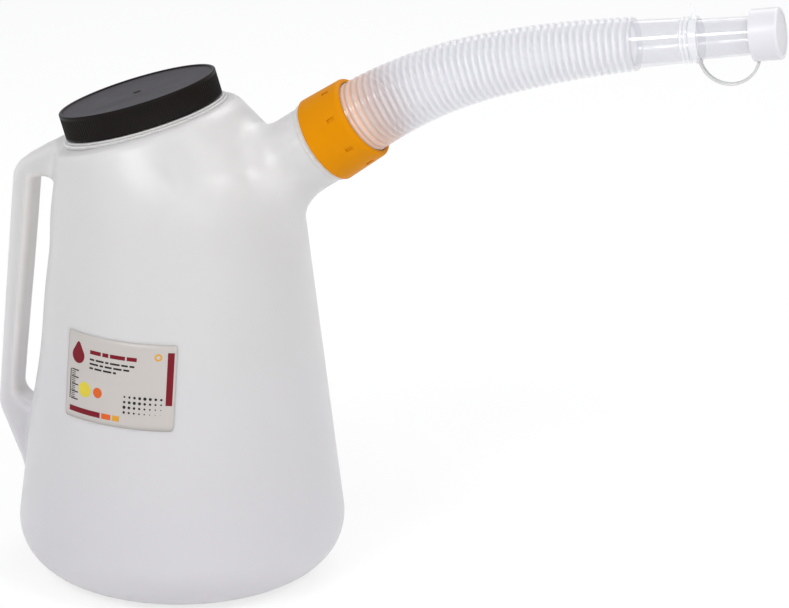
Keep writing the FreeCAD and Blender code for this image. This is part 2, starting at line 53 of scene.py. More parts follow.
# ---- sizes shared with the part's source ----
foot_radius, foot_rounding, side_draft, wall = 99.5, 28.0, 7.3, 1.6
axes_meet_z = 203.0
shelf_inset, shoulder_flare, shelf_rounding = 20.1, 27.7, 10.0
filler_tilt, filler_face = 17.4, 66.5
lid_radius, lid_wall, lid_height, lid_gap, lid_top_thickness = 46.5, 2.4, 14.8, 3.0, 2.0
lid_rim_height, lid_rim_width = 0.8, 1.8
neck_bead_heights, neck_bead_edges = (1.2, 2.4), (2.1, 0.8)
filler_neck_wall, seal_thickness, gate_nub = 2.0, 1.2, (2.0, 0.5)
thread_depth, thread_clearance, thread_pitch = 1.5, 0.4, 5.0
thread_root, thread_crest, thread_sink = 2.2, 1.0, 0.4
filler_thread_start, filler_thread_turns, lid_thread_turns = 3.4, 1.8, 1.2
spout_thread_start, spout_thread_turns = 4.0, 2.8
spout_rise, spout_neck_radius = 35.3, 23.4
spout_thread_radius, spout_neck_bore = 21.5, 19.5
collar_start, collar_length, collar_lip = 107.8, 27.5, 2.5
gasket_thickness, flange_thickness, running_gap = 1.5, 2.4, 0.3
hose_lead, hose_ridges = 0.4, 42
hose_bend_lengths, hose_bend_angles = (81.0, 84.0), (17.8, 8.2)
hose_crests, hose_ridge_depth, hose_wall = (21.5, 14.9), 1.6, 0.8
hose_valley_at, hose_crest_at = 0.3, 0.75
nozzle_root_radius, nozzle_tip_radius, nozzle_beads_at = 13.3, 10.3, (27.6, 30.0)
nozzle_step_at, nozzle_step_length, nozzle_step_radii = 31.0, 0.5, (12.2, 11.2)
nozzle_length, nozzle_wall, nozzle_rim, nozzle_rim_slope = 77.4, 1.1, 1.6, 1.0
cap_cover, cap_radius, cap_wall = 12.2, 14.2, 1.7
tether_ring_at, tether_ring_width, tether_ring_wall = 31.7, 4.4, 1.4
tether_ring_clearance, tether_strap, tether_sag = 0.1, (1.7, 4.2), 13.4
tether_stalk_radius, tether_stalk_height, tether_knob_radius = 1.1, 7.2, 1.7
handle_depth, handle_width, handle_edge_rounding = 12.5, 21.0, 5.0
handle_top, handle_low, handle_root = (32.0, 29.7), (85.4, 24.0), (35.0, -3.4)
handle_rise, handle_top_drop, handle_corner_radii = 31.8, 0.5, (30.0, 17.0, 20.0)
finger_gap_floor, finger_gap_floor_slope, finger_gap_roof_slope = (91.0, 10.8), -35.0, 8.0
finger_gap_radii = (4.5, 9.0)
label_width, label_height, label_middle_z, label_turn = 70.7, 49.6, 136.0, -96.6
label_gap = 0.1

# ---- softer forms that only the looks have ----
ridge_width, ridge_power = 17.0, 0.4        # blend of side and shoulder, wider where they meet steeply
neck_blends = (13.0, 20.0)                  # on top of the neck, under it
grip_blends, grip_blend_z = (7.0, 11.0), (120.0, 200.0)     # at the grip's foot and arm, and their heights
grip_thinning = 1.9                         # depth that the grip loses towards its foot
gap_shelf = (1.8, 218.0, 190.0)             # bulge beside the finger gap's top: depth, where full, where gone
gap_hollow = (1.3, 90.0, 130.0, 175.0)      # dip beside the rest of it: depth, where it starts, is full, ends
gap_side = (0.35, 0.95)                     # how squarely the side faces the grip where both start, are full
gap_line = ((-90.7, 102.0), (-81.9, 220.0))                 # middle of the finger gap, (x, z) low and high
painted_light_z = (84.0, 97.0, 228.0, 233.0)     # where the painted light round the gap starts, is full and ends
painted_light_x = (-105.0, -103.0)               # where it starts and is full behind the grip's inner face
base_dish, dish_blend = (56.0, 2.0), 1.5    # radius and depth of the hollow underside, and its blend
skin_box = ((-118.0, -104.0, -6.0), (112.0, 104.0, 300.0))  # room in which the skin is looked for
skin_cell, inner_cell = 2.0, 3.2            # size of the net's cells for the outer and inner surface

# ---- sizes that only the looks have ----
spout_neck_foot = 92.0                      # where the threaded tube starts inside the blown neck
# bead behind the collar, (from the collar's start, radius), and a nozzle's bead, (along, up)
neck_bead = ((-4.0, 22.8), (-3.2, 24.35), (-2.0, 24.35), (-1.6, 24.0), (-0.5, 24.0), (-0.5, 21.0))
bead_form = ((-0.9, 0.0), (-0.65, 0.25), (-0.35, 0.6), (0.0, 0.7), (0.35, 0.6), (0.65, 0.25), (0.9, 0.0))
knurls, knurl_depth = 156, 0.45
ridge_shown, spigot_shown = 0.78, 2.5       # depth of the hose's ridges, length of the nozzle's spigot
bend_shares = (0.18, 0.82)                  # of the hose's length, where its bending starts and ends
glow_share, glow_reach, glow_lost = 0.8, 17.0, 0.6          # painted reflection of the collar's colour in the hose, lost on its crests
label_thickness, label_corner, ink_height = 0.16, 0.4, 0.02
pinhole = 0.02                              # radius at which a turned piece closes


def direction(angle):
    a = math.radians(angle)
    return np.array([math.cos(a), 0.0, math.sin(a)])


neck_origin = np.array([0.0, 0.0, axes_meet_z])
filler_axis, spout_axis = direction(90 + filler_tilt), direction(spout_rise)
side_slope = math.tan(math.radians(side_draft))
lid_bore = lid_radius - lid_wall
filler_neck_radius = lid_bore - thread_clearance - thread_depth
lid_bottom = filler_face + lid_gap
lid_top = lid_bottom + lid_height
lid_ceiling = lid_top - lid_rim_height - lid_top_thickness
filler_rim = lid_ceiling - seal_thickness
collar_end = collar_start + collar_length
collar_bore = spout_thread_radius + thread_depth + thread_clearance
flange_outer = collar_end - collar_lip - running_gap / 2
flange_inner = flange_outer - flange_thickness
spout_rim = flange_inner - gasket_thickness
hose_start = collar_end + hose_lead
hose_length = sum(hose_bend_lengths)
cap_start = nozzle_length - cap_cover


def side_radius(z):
    return foot_radius - side_slope * z


shelf_radius = side_radius(axes_meet_z) - shelf_inset


# ------------------------------------------------------------------ mesh helpers

def mesh_piece(name, points, faces, body, slot, material, normals=None):
    """Mesh object from points in millimetres; body None leaves it unattached."""
    mesh = bpy.data.meshes.new(name)
    mesh.from_pydata((np.asarray(points, float) * MM).tolist(), [], faces)
    mesh.validate()
    mesh.polygons.foreach_set("use_smooth", [True] * len(mesh.polygons))
    if normals is not None:
        mesh.normals_split_custom_set_from_vertices(normals.tolist())
    mesh.update()
    piece = bpy.data.objects.new(name, mesh)
    bpy.context.scene.collection.objects.link(piece)
    mesh.materials.append(material)
    if body:
        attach(piece, body)
    return piece


def frame_of(axis):
    """Two unit vectors square to an axis in the plane Y = 0; the second is +Y."""
    y = np.array([0.0, 1.0, 0.0])
    return np.cross(y, axis), y


def grid_faces(rows, columns, round_rows=False, round_columns=True):
    """Quads of a grid of points, wrapped round in either direction."""
    faces = []
    for i in range(rows if round_rows else rows - 1):
        for j in range(columns if round_columns else columns - 1):
            a, b = i * columns + j, i * columns + (j + 1) % columns
            up = ((i + 1) % rows) * columns
            faces.append((a, b, up + (j + 1) % columns, up + j))
    return faces


def turned(profile, origin, axis, columns, wave=None):
    """Closed profile of (distance, radius) turned about an axis; wave(i, turns) adds to point i's radii."""
    u, v = frame_of(axis)
    turns = np.linspace(0, 2 * math.pi, columns, endpoint=False)
    ring = np.outer(np.cos(turns), u) + np.outer(np.sin(turns), v)
    points = []
    for i, (s, r) in enumerate(profile):
        radii = np.full(columns, float(r)) if wave is None else r + wave(i, turns)
        points.append(origin + s * axis + ring * radii[:, None])
    return np.concatenate(points), grid_faces(len(profile), columns, round_rows=True)


def held_flat(profile, edge=0.5):
    """Closed profile with points added near the ends of its long runs, so that these shade as straight."""
    out = []
    for i, start in enumerate(profile):
        end = profile[(i + 1) % len(profile)]
        out.append(start)
        length = math.dist(start, end)
        if length > 4 * edge:
            for share in (edge / length, 1 - edge / length):
                out.append((start[0] + (end[0] - start[0]) * share, start[1] + (end[1] - start[1]) * share))
    return out


def bevelled(profile, roundings, steps=4):
    """Closed (distance, radius) profile with some corners rounded; roundings is {corner: radius}."""
    out, count = [], len(profile)
    for i, corner in enumerate(profile):
        radius = roundings.get(i, 0)
        if not radius:
            out.append(tuple(corner))
            continue
        p = np.array(corner, float)
        a = np.array(profile[i - 1], float) - p
        b = np.array(profile[(i + 1) % count], float) - p
        a, b = a / np.linalg.norm(a), b / np.linalg.norm(b)
        half = math.acos(max(-1.0, min(1.0, float(a @ b)))) / 2
        reach = radius / math.tan(half)
        start, end = p + a * reach, p + b * reach
        centre = p + (a + b) / np.linalg.norm(a + b) * radius / math.sin(half)
        for k in range(steps + 1):
            w = k / steps
            arm = (start - centre) * (1 - w) + (end - centre) * w
            out.append(tuple(centre + arm / np.linalg.norm(arm) * radius))
    return out


def thread(radius, start, turns, outward, origin, axis, columns=72):
    """Helical ridge of trapezoid section that fades in and out at its ends."""
    u, v = frame_of(axis)
    count, fading = int(columns * turns), 9
    eased, flank, top = thread_depth - 0.25, thread_crest / 2 + 0.1, thread_crest / 2 - 0.2
    section = [(-thread_sink, -thread_root / 2), (eased, -flank), (thread_depth, -top), (thread_depth, top),
               (eased, flank), (-thread_sink, thread_root / 2)]
    points = []
    for i in range(count + 1):
        turn = 2 * math.pi * i / columns
        fade = min(1.0, i / fading, (count - i) / fading)
        out = u * math.cos(turn) + v * math.sin(turn)
        for depth, rise in section:
            reach = depth if depth < 0 else depth * fade - thread_sink * (1 - fade)
            s = start + thread_pitch * i / columns + rise
            points.append(origin + axis * s + out * (radius + outward * reach))
    last = count * len(section)
    faces = grid_faces(count + 1, len(section))
    faces += [tuple(range(len(section)))[::-1], tuple(range(last, last + len(section)))]
    if outward < 0:
        faces = [f[::-1] for f in faces]
    return np.array(points), faces


def joined(*parts):
    """Several (points, faces) as one."""
    points, faces, base = [], [], 0
    for p, f in parts:
        points.append(np.asarray(p, float))
        faces += [tuple(k + base for k in face) for face in f]
        base += len(p)
    return np.concatenate(points), faces


# ------------------------------------------------------------------ the blown skin as a field

def round_max(a, b, cos, radius):
    """Larger of two distances, rounded to a radius at their edge; cos is for the angle of their normals."""
    square = 1.0 - cos * cos
    u, v = a + radius, b + radius
    between = (u > v * cos) & (v > u * cos)
    arc = np.sqrt(np.maximum(u * u + v * v - 2 * u * v * cos, 0) / square) - radius
    return np.where(between, arc, np.maximum(a, b))


def soft_max(a, b, width):
    h = np.maximum(width - np.abs(a - b), 0)
    return np.maximum(a, b) + h * h / (4 * width)


def soft_min(a, b, width):
    return -soft_max(-a, -b, width)


def smooth_step(low, high, x):
    t = np.clip((x - low) / (high - low), 0, 1)
    return t * t * (3 - 2 * t)


def axial(p, axis):
    """Distance along an axis through the necks' common point, distance from it, and direction out."""
    q = p - neck_origin
    s = q @ axis
    out = q - s[:, None] * axis
    r = np.maximum(np.linalg.norm(out, axis=1), 1e-6)
    return s, r, out / r[:, None]


def beyond(p, point, angle):
    """Distance of points past a line in the plane Y = 0, on the left of its heading."""
    left = direction(angle + 90)
    return (p[:, 0] - point[0]) * left[0] + (p[:, 2] - point[1]) * left[2]


def beside(height, reach):
    """Point (x, z) on the grip's side of the body, at a height and a reach out from its side."""
    return np.array([-side_radius(height) - reach, height])


def heading(p, q):
    return math.degrees(math.atan2(q[1] - p[1], q[0] - p[0]))


def past(point, angle, distance):
    """A point moved to the right of a heading, in the plane Y = 0."""
    right = direction(angle - 90)
    return np.array([point[0] + right[0] * distance, point[1] + right[2] * distance])


def cosine(angle):
    return math.cos(math.radians(angle))


def handle_field(p):
    top = beside(axes_meet_z + handle_top[0], handle_top[1])
    low, root = beside(*handle_low), beside(*handle_root)
    grip, under = heading(low, top), heading(root, low)
    shelf = neck_origin + filler_axis * (filler_face - handle_top_drop)
    r_arm, r_top, r_low = handle_corner_radii
    plate = round_max(beyond(p, (shelf[0], shelf[2]), filler_tilt), beyond(p, top, handle_rise),
                      cosine(handle_rise - filler_tilt), r_arm)
    plate = round_max(plate, beyond(p, low, grip), cosine(grip - handle_rise), r_top)
    plate = round_max(plate, beyond(p, root, under), cosine(under - grip), r_low)
    plate = np.maximum(plate, root[1] - p[:, 2])
    plate = np.maximum(plate, p[:, 0] + foot_radius / 2)
    gap_grip = past(low, grip, handle_depth)
    arm = past(top, handle_rise, handle_depth)
    a, b, d = direction(grip), direction(handle_rise), arm - gap_grip
    t = (d[0] * b[2] - d[1] * b[0]) / (a[0] * b[2] - a[2] * b[0])
    corner = gap_grip + np.array([a[0], a[2]]) * t
    r_gap_top, r_gap_low = finger_gap_radii
    thinned = grip_thinning * smooth_step(arm[1], gap_grip[1], p[:, 2])
    gap = round_max(beyond(p, gap_grip, grip) - thinned, beyond(p, corner, finger_gap_roof_slope),
                    cosine(grip - finger_gap_roof_slope), r_gap_top)
    floor = -beyond(p, beside(*finger_gap_floor), finger_gap_floor_slope)
    gap = round_max(gap, floor, cosine(grip - finger_gap_floor_slope + 180), r_gap_low)
    return round_max(np.maximum(plate, -gap), np.abs(p[:, 1]) - handle_width / 2, 0.0, handle_edge_rounding)


def skin_field(p):
    """Signed distance, near the surface, to the blown body with its handle and plain spout neck."""
    x, y, z = p.T
    r = np.maximum(np.hypot(x, y), 1e-6)
    draft, flare = math.radians(side_draft), math.radians(shoulder_flare)
    behind = smooth_step(*gap_side, -x / r)
    bulge, full, gone = gap_shelf
    dip, start, deepest, end = gap_hollow
    swell = bulge * smooth_step(gone, full, z)
    swell = swell - dip * smooth_step(start, deepest, z) * smooth_step(end, deepest, z)
    side = (r - side_radius(z) - swell * behind) * math.cos(draft)
    side = round_max(side, -z, -math.sin(draft), foot_rounding)
    s, rho, out = axial(p, filler_axis)
    flat = s - filler_face
    slope = (rho - shelf_radius - (filler_face - s) * math.tan(flare)) * math.cos(flare)
    shoulder = round_max(flat, slope, math.sin(flare), shelf_rounding)
    side_normal = np.stack([x / r * math.cos(draft), y / r * math.cos(draft),
                            np.full_like(x, math.sin(draft))], 1)
    on_flat = smooth_step(-4, 4, flat - slope)[:, None]
    over = (out * math.cos(flare) + filler_axis * math.sin(flare)) * (1 - on_flat) + filler_axis * on_flat
    over /= np.linalg.norm(over, axis=1)[:, None]
    width = ridge_width * np.maximum(1 - np.sum(side_normal * over, 1), 0.0) ** ridge_power
    body = soft_max(side, shoulder, np.maximum(width, 0.2))
    ball = (base_dish[0] ** 2 + base_dish[1] ** 2) / (2 * base_dish[1])
    body = soft_max(body, ball - np.hypot(r, z - base_dish[1] + ball), dish_blend)
    s, rho, out = axial(p, spout_axis)
    neck = np.maximum(rho - spout_neck_radius, -s)
    neck = round_max(neck, s - (collar_start - 1.0), 0.0, 0.6)
    under = np.clip((1 - out @ direction(spout_rise + 90)) / 2, 0, 1)
    body = soft_min(body, neck, neck_blends[0] + (neck_blends[1] - neck_blends[0]) * under ** 1.5)
    width = grip_blends[0] + (grip_blends[1] - grip_blends[0]) * smooth_step(*grip_blend_z, z)
    return soft_min(body, handle_field(p), width)


def inner_field(p):
    return -(skin_field(p) + wall)


def slopes(field, p, step=0.05):
    grads = []
    for k in range(3):
        d = np.zeros(3)
        d[k] = step
        grads.append((field(p + d) - field(p - d)) / (2 * step))
    return np.stack(grads, 1)


def net(field, low, high, cell):
    """Surface net of a field's zero level: one point in each cell that it crosses, quads between them."""
    axes = [np.arange(a, b + cell, cell) for a, b in zip(low, high)]
    shape = tuple(len(a) for a in axes)
    flat = np.empty(shape, np.float32)
    for i, x in enumerate(axes[0]):
        y, z = np.meshgrid(axes[1], axes[2], indexing="ij")
        flat[i] = field(np.stack([np.full(y.size, x), y.ravel(), z.ravel()], 1)).reshape(y.shape)
    cells = tuple(n - 1 for n in shape)
    corners = list(itertools.product((0, 1), repeat=3))
    values = [flat[i:cells[0] + i, j:cells[1] + j, k:cells[2] + k] for i, j, k in corners]
    below = sum((v < 0).astype(np.int8) for v in values)
    mixed = (below > 0) & (below < 8)
    where = np.argwhere(mixed)
    number = np.full(cells, -1, np.int64)
    number[mixed] = np.arange(len(where))
    at = [v[mixed] for v in values]
    total, count = np.zeros((len(where), 3)), np.zeros(len(where))
    for a, b in itertools.combinations(range(8), 2):
        step = np.subtract(corners[b], corners[a])
        if np.abs(step).sum() != 1:
            continue
        cross = (at[a] < 0) != (at[b] < 0)
        t = np.where(cross, at[a] / np.where(cross, at[a] - at[b], 1), 0)
        total += np.where(cross[:, None], np.array(corners[a]) + t[:, None] * step, 0)
        count += cross
    points = np.array(low) + cell * (where + total / count[:, None])
    faces = []
    for axis in range(3):
        b, c = (axis + 1) % 3, (axis + 2) % 3
        grid = np.moveaxis(flat, (axis, b, c), (0, 1, 2)) < 0
        cell_of = np.moveaxis(number, (axis, b, c), (0, 1, 2))
        first, second = grid[:-1, 1:-1, 1:-1], grid[1:, 1:-1, 1:-1]
        for out, cross in ((True, first & ~second), (False, ~first & second)):
            i, j, k = np.argwhere(cross).T
            quad = [cell_of[i, j, k], cell_of[i, j + 1, k], cell_of[i, j + 1, k + 1], cell_of[i, j, k + 1]]
            faces.append(np.stack(quad if out else quad[::-1], 1))
    return points, np.concatenate(faces)


def settled(field, points, faces, rounds=4):
    """The net evened out along the surface and drawn onto it."""
    edges = np.concatenate([faces[:, [k, (k + 1) % 4]] for k in range(4)])
    for _ in range(rounds):
        total = np.zeros_like(points)
        np.add.at(total, edges[:, 0], points[edges[:, 1]])
        count = np.bincount(edges[:, 0], minlength=len(points))
        points = points + 0.5 * (total / count[:, None] - points)
        for _ in range(3):
            slope = slopes(field, points)
            pull = field(points) / np.maximum((slope ** 2).sum(1), 0.2)
            points = points - slope * np.clip(pull, -1, 1)[:, None]
    return points


def opened(points, faces, axis, radius, low):
    """Faces with a round hole cut about an axis, the rim drawn onto its circle."""
    s, r, out = axial(points, axis)
    gone = (r < radius) & (s > low)
    keep = ~gone[faces].any(1)
    rim = np.zeros(len(points), bool)
    rim[faces[~keep].ravel()] = True
    rim &= ~gone
    points = points.copy()
    points[rim] -= out[rim] * (r[rim] - radius)[:, None]
    return points, faces[keep]


def jug_skin():
    """Outer and inner surface of the blown wall, open at both necks, with the normals of the field."""
    holes = ((filler_axis, filler_neck_radius - filler_neck_wall / 2, filler_face - 4.0),
             (spout_axis, spout_neck_bore + 1.0, collar_start - 6.0))
    parts, normals = [], []
    for field, cell in ((skin_field, skin_cell), (inner_field, inner_cell)):
        points, faces = net(field, *skin_box, cell)
        points = settled(field, points, faces)
        for axis, radius, low in holes:
            points, faces = opened(points, faces, axis, radius, low)
        used = np.unique(faces)
        renumber = np.full(len(points), -1)
        renumber[used] = np.arange(len(used))
        points, faces = points[used], renumber[faces]
        slope = slopes(field, points)
        normals.append(slope / np.linalg.norm(slope, axis=1)[:, None])
        parts.append((points, [tuple(f) for f in faces.tolist()]))
    return *joined(*parts), np.concatenate(normals)


def painted_gap_light_share(points, normals):
    """Share, from 0 to 1, of painted light on the grip's faces that look into the finger gap, which lie in
    shade.
    """
    x, _, z = points.T
    (x0, z0), (x1, z1) = gap_line
    middle = x0 + (z - z0) * (x1 - x0) / (z1 - z0)
    inward = normals[:, 0] - np.minimum(normals[:, 2], 0)
    starts, full, fades, ends = painted_light_z
    return (smooth_step(0.1, 0.7, inward) * smooth_step(0.0, 3.0, middle - x) * smooth_step(starts, full, z)
            * smooth_step(ends, fades, z) * smooth_step(*painted_light_x, x))


# ------------------------------------------------------------------ materials

def node(made, kind, inputs=None, **settings):
    """New node in a material or world; its inputs are values, or sockets to link."""
    made_node = made.node_tree.nodes.new(kind)
    for key, value in settings.items():
        setattr(made_node, key, value)
    for key, value in (inputs or {}).items():
        socket = made_node.inputs[key]
        if isinstance(value, bpy.types.NodeSocket):
            made.node_tree.links.new(value, socket)
        else:
            socket.default_value = value
    return made_node


def mixed(made, share, low, high, **settings):
    """Socket with a mix of two colours, each of them a colour or a socket."""
    low, high = ((*colour, 1) if isinstance(colour, tuple) else colour for colour in (low, high))
    inputs = {"Factor": share, 6: low, 7: high}
    return node(made, "ShaderNodeMix", inputs, data_type="RGBA", **settings).outputs[2]


def into(made, name, value):
    """Link a socket to one of a material's own inputs."""
    made.node_tree.links.new(value, made.node_tree.nodes["Principled BSDF"].inputs[name])


def plastic(name, colours, roughness, colour_scale=12.0, bumps=(), **sockets):
    """Plastic of one colour, or with noise between two, and of one roughness or between two.

    Bumps are (scale per metre, depth in metres). Sockets are the shader's other inputs, with _ for a space.
    """
    made = bpy.data.materials.new(name)
    made.use_nodes = True
    inputs = made.node_tree.nodes["Principled BSDF"].inputs
    inputs["Base Color"].default_value = (*colours[0], 1)
    inputs["Roughness"].default_value = roughness[0]
    for key, value in sockets.items():
        inputs[key.replace("_", " ")].default_value = value
    place = node(made, "ShaderNodeTexCoord").outputs["Object"]
    if len(colours) > 1:
        cloud = node(made, "ShaderNodeTexNoise", {"Vector": place, "Scale": colour_scale, "Detail": 3.0})
        into(made, "Base Color", mixed(made, cloud.outputs["Fac"], *colours))
    if len(roughness) > 1:
        cloud = node(made, "ShaderNodeTexNoise", {"Vector": place, "Scale": 60.0, "Detail": 2.0})
        span = node(made, "ShaderNodeMapRange", {"Value": cloud.outputs["Fac"], "To Min": roughness[0],
                                                 "To Max": roughness[1]})
        into(made, "Roughness", span.outputs[0])
    normal = {}
    for scale, depth in bumps:
        grain = node(made, "ShaderNodeTexNoise", {"Vector": place, "Scale": scale, "Detail": 2.0})
        bump = node(made, "ShaderNodeBump", {"Height": grain.outputs["Fac"], "Distance": depth,
                                             "Strength": 1.0, **normal})
        normal = {"Normal": bump.outputs["Normal"]}
    if normal:
        into(made, "Normal", normal["Normal"])
    return made


def tinted(made, share, low, high):
    """Multiply a material's colour by a tint that goes from low to high with a share."""
    colour = made.node_tree.nodes["Principled BSDF"].inputs["Base Color"].links[0].from_socket
    into(made, "Base Color", mixed(made, 1.0, colour, mixed(made, share, low, high), blend_type="MULTIPLY"))


def by_height(made, low_z, high_z):
    """Share that goes from 0 to 1 between two heights."""
    place = node(made, "ShaderNodeTexCoord").outputs["Object"]
    height = node(made, "ShaderNodeSeparateXYZ", {"Vector": place}).outputs["Z"]
    return node(made, "ShaderNodeMapRange", {"Value": height, "From Min": low_z, "From Max": high_z},
                interpolation_type="SMOOTHSTEP").outputs[0]


def by_attribute(made, name):
    """Share that the mesh itself holds at each point."""
    return node(made, "ShaderNodeAttribute", attribute_name=name).outputs["Fac"]


def held_by_points(piece, name, values):
    """Give each of a mesh's points a value under a name."""
    made = piece.data.attributes.new(name, "FLOAT", "POINT")
    made.data.foreach_set("value", np.asarray(values, np.float32))


milky = plastic("milky_blown_plastic", ((0.650, 0.634, 0.639), (0.692, 0.675, 0.676)), (0.33, 0.41), 9.0,
                ((28.0, 0.0006), (420.0, 0.00003)), IOR=1.5, Subsurface_Weight=0.75, Subsurface_Scale=0.010,
                Subsurface_Radius=(1.0, 1.0, 1.0))
# painted shade: the body's colour turns darker and bluer towards the bottom, lighter and warmer towards the
# top
tinted(milky, by_height(milky, 0.02, 0.22), (0.955, 0.95, 1.0), (1.0, 1.0, 0.985))
painted_grip_light = (1.46, 1.42, 1.37)             # painted light: tint that lightens the grip's shaded faces round the finger gap, for light that comes through the plastic
tinted(milky, by_attribute(milky, "gap_painted_light"), (1.0, 1.0, 1.0), painted_grip_light)
black = plastic("black_plastic", ((0.005, 0.004, 0.0035), (0.009, 0.0065, 0.0055)), (0.42, 0.56), 40.0,
                ((900.0, 0.00004),), Specular_IOR_Level=0.10)
# painted sheen: a lighter, bluer and glossier copy of the black plastic for the lid's top, for the sheen that
# it shows
black_painted_sheen = plastic("black_plastic_painted_sheen", ((0.014, 0.011, 0.017), (0.021, 0.016, 0.024)), (0.42, 0.54), 40.0,
                    ((900.0, 0.00003),), Specular_IOR_Level=0.3)
amber = plastic("amber_plastic", ((0.555, 0.198, 0.0), (0.615, 0.232, 0.0)), (0.38, 0.46), 30.0,
                ((700.0, 0.00002),), Specular_IOR_Level=0.05)
clear = plastic("clear_soft_plastic", ((0.59, 0.59, 0.64), (0.64, 0.64, 0.70)), (0.10,), 50.0,
                ((420.0, 0.000002),), IOR=2.3, Alpha=0.26)
# clear tether plastic, lighter than the nozzle's: the tether ring's own plastic with a painted highlight on
# its arcs, and a painted highlight on the nozzle's beads
tether_clear_painted_highlight = plastic("clear_tether_plastic_painted_highlight", ((0.84, 0.84, 0.87), (0.89, 0.89, 0.91)), (0.16,), 50.0,
                       IOR=1.7, Alpha=0.34)
cap_white = plastic("milky_cap_plastic", ((0.61, 0.60, 0.63), (0.65, 0.64, 0.67)), (0.34,), 60.0,
                    ((500.0, 0.00002),), Subsurface_Weight=0.5, Subsurface_Scale=0.004,
                    Subsurface_Radius=(1.0, 1.0, 1.0))
strap_grey = plastic("tether_plastic", ((0.52, 0.52, 0.515), (0.60, 0.60, 0.59)), (0.3,), 80.0,
                     ((500.0, 0.00002),))
rubber = plastic("gasket_rubber", ((0.62, 0.60, 0.56),), (0.6,), bumps=((600.0, 0.00003),))
liner = plastic("liner_plastic", ((0.7, 0.7, 0.7),), (0.5,), bumps=((300.0, 0.00003),))
film = plastic("label_film", ((0.415, 0.388, 0.368), (0.455, 0.425, 0.404)), (0.35,), 30.0)

# the hose: crests painted paler and valleys darker, as painted highlight and shade, and a painted reflection
# of the collar's colour near the collar
hose_alpha, collar_cover = 0.25, 0.62
ridged = plastic("clear_ridged_plastic", ((0.60, 0.60, 0.67),), (0.16,), bumps=((160.0, 0.00003),), IOR=1.8,
                 Alpha=hose_alpha)
near_collar = by_attribute(ridged, "near_collar")
# painted highlight and shade: pale crests for the light lines along them, darker valleys
ridge_painted_light = mixed(ridged, by_attribute(ridged, "ridge"), (0.49, 0.49, 0.56), (0.78, 0.78, 0.81))
# painted reflection: the collar's colour mixed in near the collar, where the hose is also made more opaque
into(ridged, "Base Color", mixed(ridged, near_collar, ridge_painted_light, (0.88, 0.50, 0.29)))
into(ridged, "Alpha", node(ridged, "ShaderNodeMath", {0: near_collar, 1: collar_cover, 2: hose_alpha},
                           operation="MULTIPLY_ADD").outputs[0])


# ------------------------------------------------------------------ jug

points, faces, normals = jug_skin()
skin = mesh_piece("jug_skin", points, faces, "jug", "jug_plastic", milky, normals=normals)
# painted light: how much each point of the grip round the finger gap is lightened
held_by_points(skin, "gap_painted_light", painted_gap_light_share(points, normals))
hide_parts("jug_body")


def neck_tube(low, rim, bore, radius, axis, columns):
    """Plain tube with a rounded mouth."""
    profile = bevelled([(low, bore), (low, radius), (rim, radius), (rim, bore)], {2: 0.6, 3: 0.6})
    return turned(profile, neck_origin, axis, columns)


def filler_neck():
    """Threaded tube that starts inside the shoulder, and the bead rings at the lid's foot."""
    parts = [neck_tube(filler_face - 8.0, filler_rim, filler_neck_radius - filler_neck_wall,
                       filler_neck_radius, filler_axis, 160)]
    base, inner, overlap = filler_face - 1.0, lid_radius - 3.0, 0.4
    for height, edge in zip(neck_bead_heights, neck_bead_edges):
        top, outer = filler_face + height, lid_radius + edge
        ring = bevelled([(base, inner), (base, outer), (top, outer), (top, inner)], {2: 0.5})
        parts.append(turned(ring, neck_origin, filler_axis, 160))
        base = top - overlap
    parts.append(thread(filler_neck_radius, filler_face + filler_thread_start, filler_thread_turns, 1,
                        neck_origin, filler_axis, 120))
    return joined(*parts)


def spout_neck():
    """Threaded tube that starts inside the blown neck, and the bead behind the collar."""
    bead = bevelled([(collar_start + at, radius) for at, radius in neck_bead], {1: 0.6, 2: 0.4, 4: 0.4})
    return joined(neck_tube(spout_neck_foot, spout_rim, spout_neck_bore, spout_thread_radius, spout_axis, 96),
                  turned(bead, neck_origin, spout_axis, 120),
                  thread(spout_thread_radius, collar_start + spout_thread_start, spout_thread_turns, 1,
                         neck_origin, spout_axis))


mesh_piece("filler_neck", *filler_neck(), "jug", "jug_plastic", milky)
mesh_piece("spout_neck", *spout_neck(), "jug", "jug_plastic", milky)


# ------------------------------------------------------------------ lid

def filler_lid():
    """Knurled lid with a recessed top inside a raised rim."""
    recess, rim_inner = lid_top - lid_rim_height, lid_radius - lid_rim_width
    nub_radius, nub_height = gate_nub
    knurl_low, knurl_high = lid_bottom + 1.4, lid_top - 2.6
    flat_from, flat_to = 24.0, 4.0          # radii of points that keep the top's shading flat
    plain = bevelled([(lid_bottom, lid_bore), (lid_bottom, lid_radius), (lid_bottom + 0.9, lid_radius),
                      (knurl_low, lid_radius), (knurl_high, lid_radius), (lid_top - 2.0, lid_radius),
                      (lid_top, lid_radius), (lid_top, rim_inner), (recess, rim_inner - 0.5),
                      (recess, flat_from), (recess, flat_to), (recess, nub_radius + 0.6),
                      (recess + nub_height, nub_radius - 0.3), (recess + nub_height, pinhole),
                      (lid_ceiling, pinhole), (lid_ceiling, lid_bore)],
                     {1: 0.35, 6: 0.7, 7: 0.7, 8: 0.3, 12: 0.3})

    def wave(i, turns):
        if plain[i][0] not in (knurl_low, knurl_high):
            return np.zeros_like(turns)
        return -knurl_depth * (0.5 - 0.5 * np.cos(turns * knurls))

    return joined(turned(plain, neck_origin, filler_axis, 4 * knurls, wave),
                  thread(lid_bore, filler_face + filler_thread_start + thread_pitch / 2, lid_thread_turns, -1,
                         neck_origin, filler_axis, 120))


lid = mesh_piece("lid_knurled", *filler_lid(), "lid", "lid_plastic", black)
lid.data.materials.append(black_painted_sheen)
# the lid's upward faces take the painted sheen
lid_up = Vector(filler_axis)
for face in lid.data.polygons:
    face.material_index = 1 if face.normal.dot(lid_up) > 0.9 else 0
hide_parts("filler_lid")


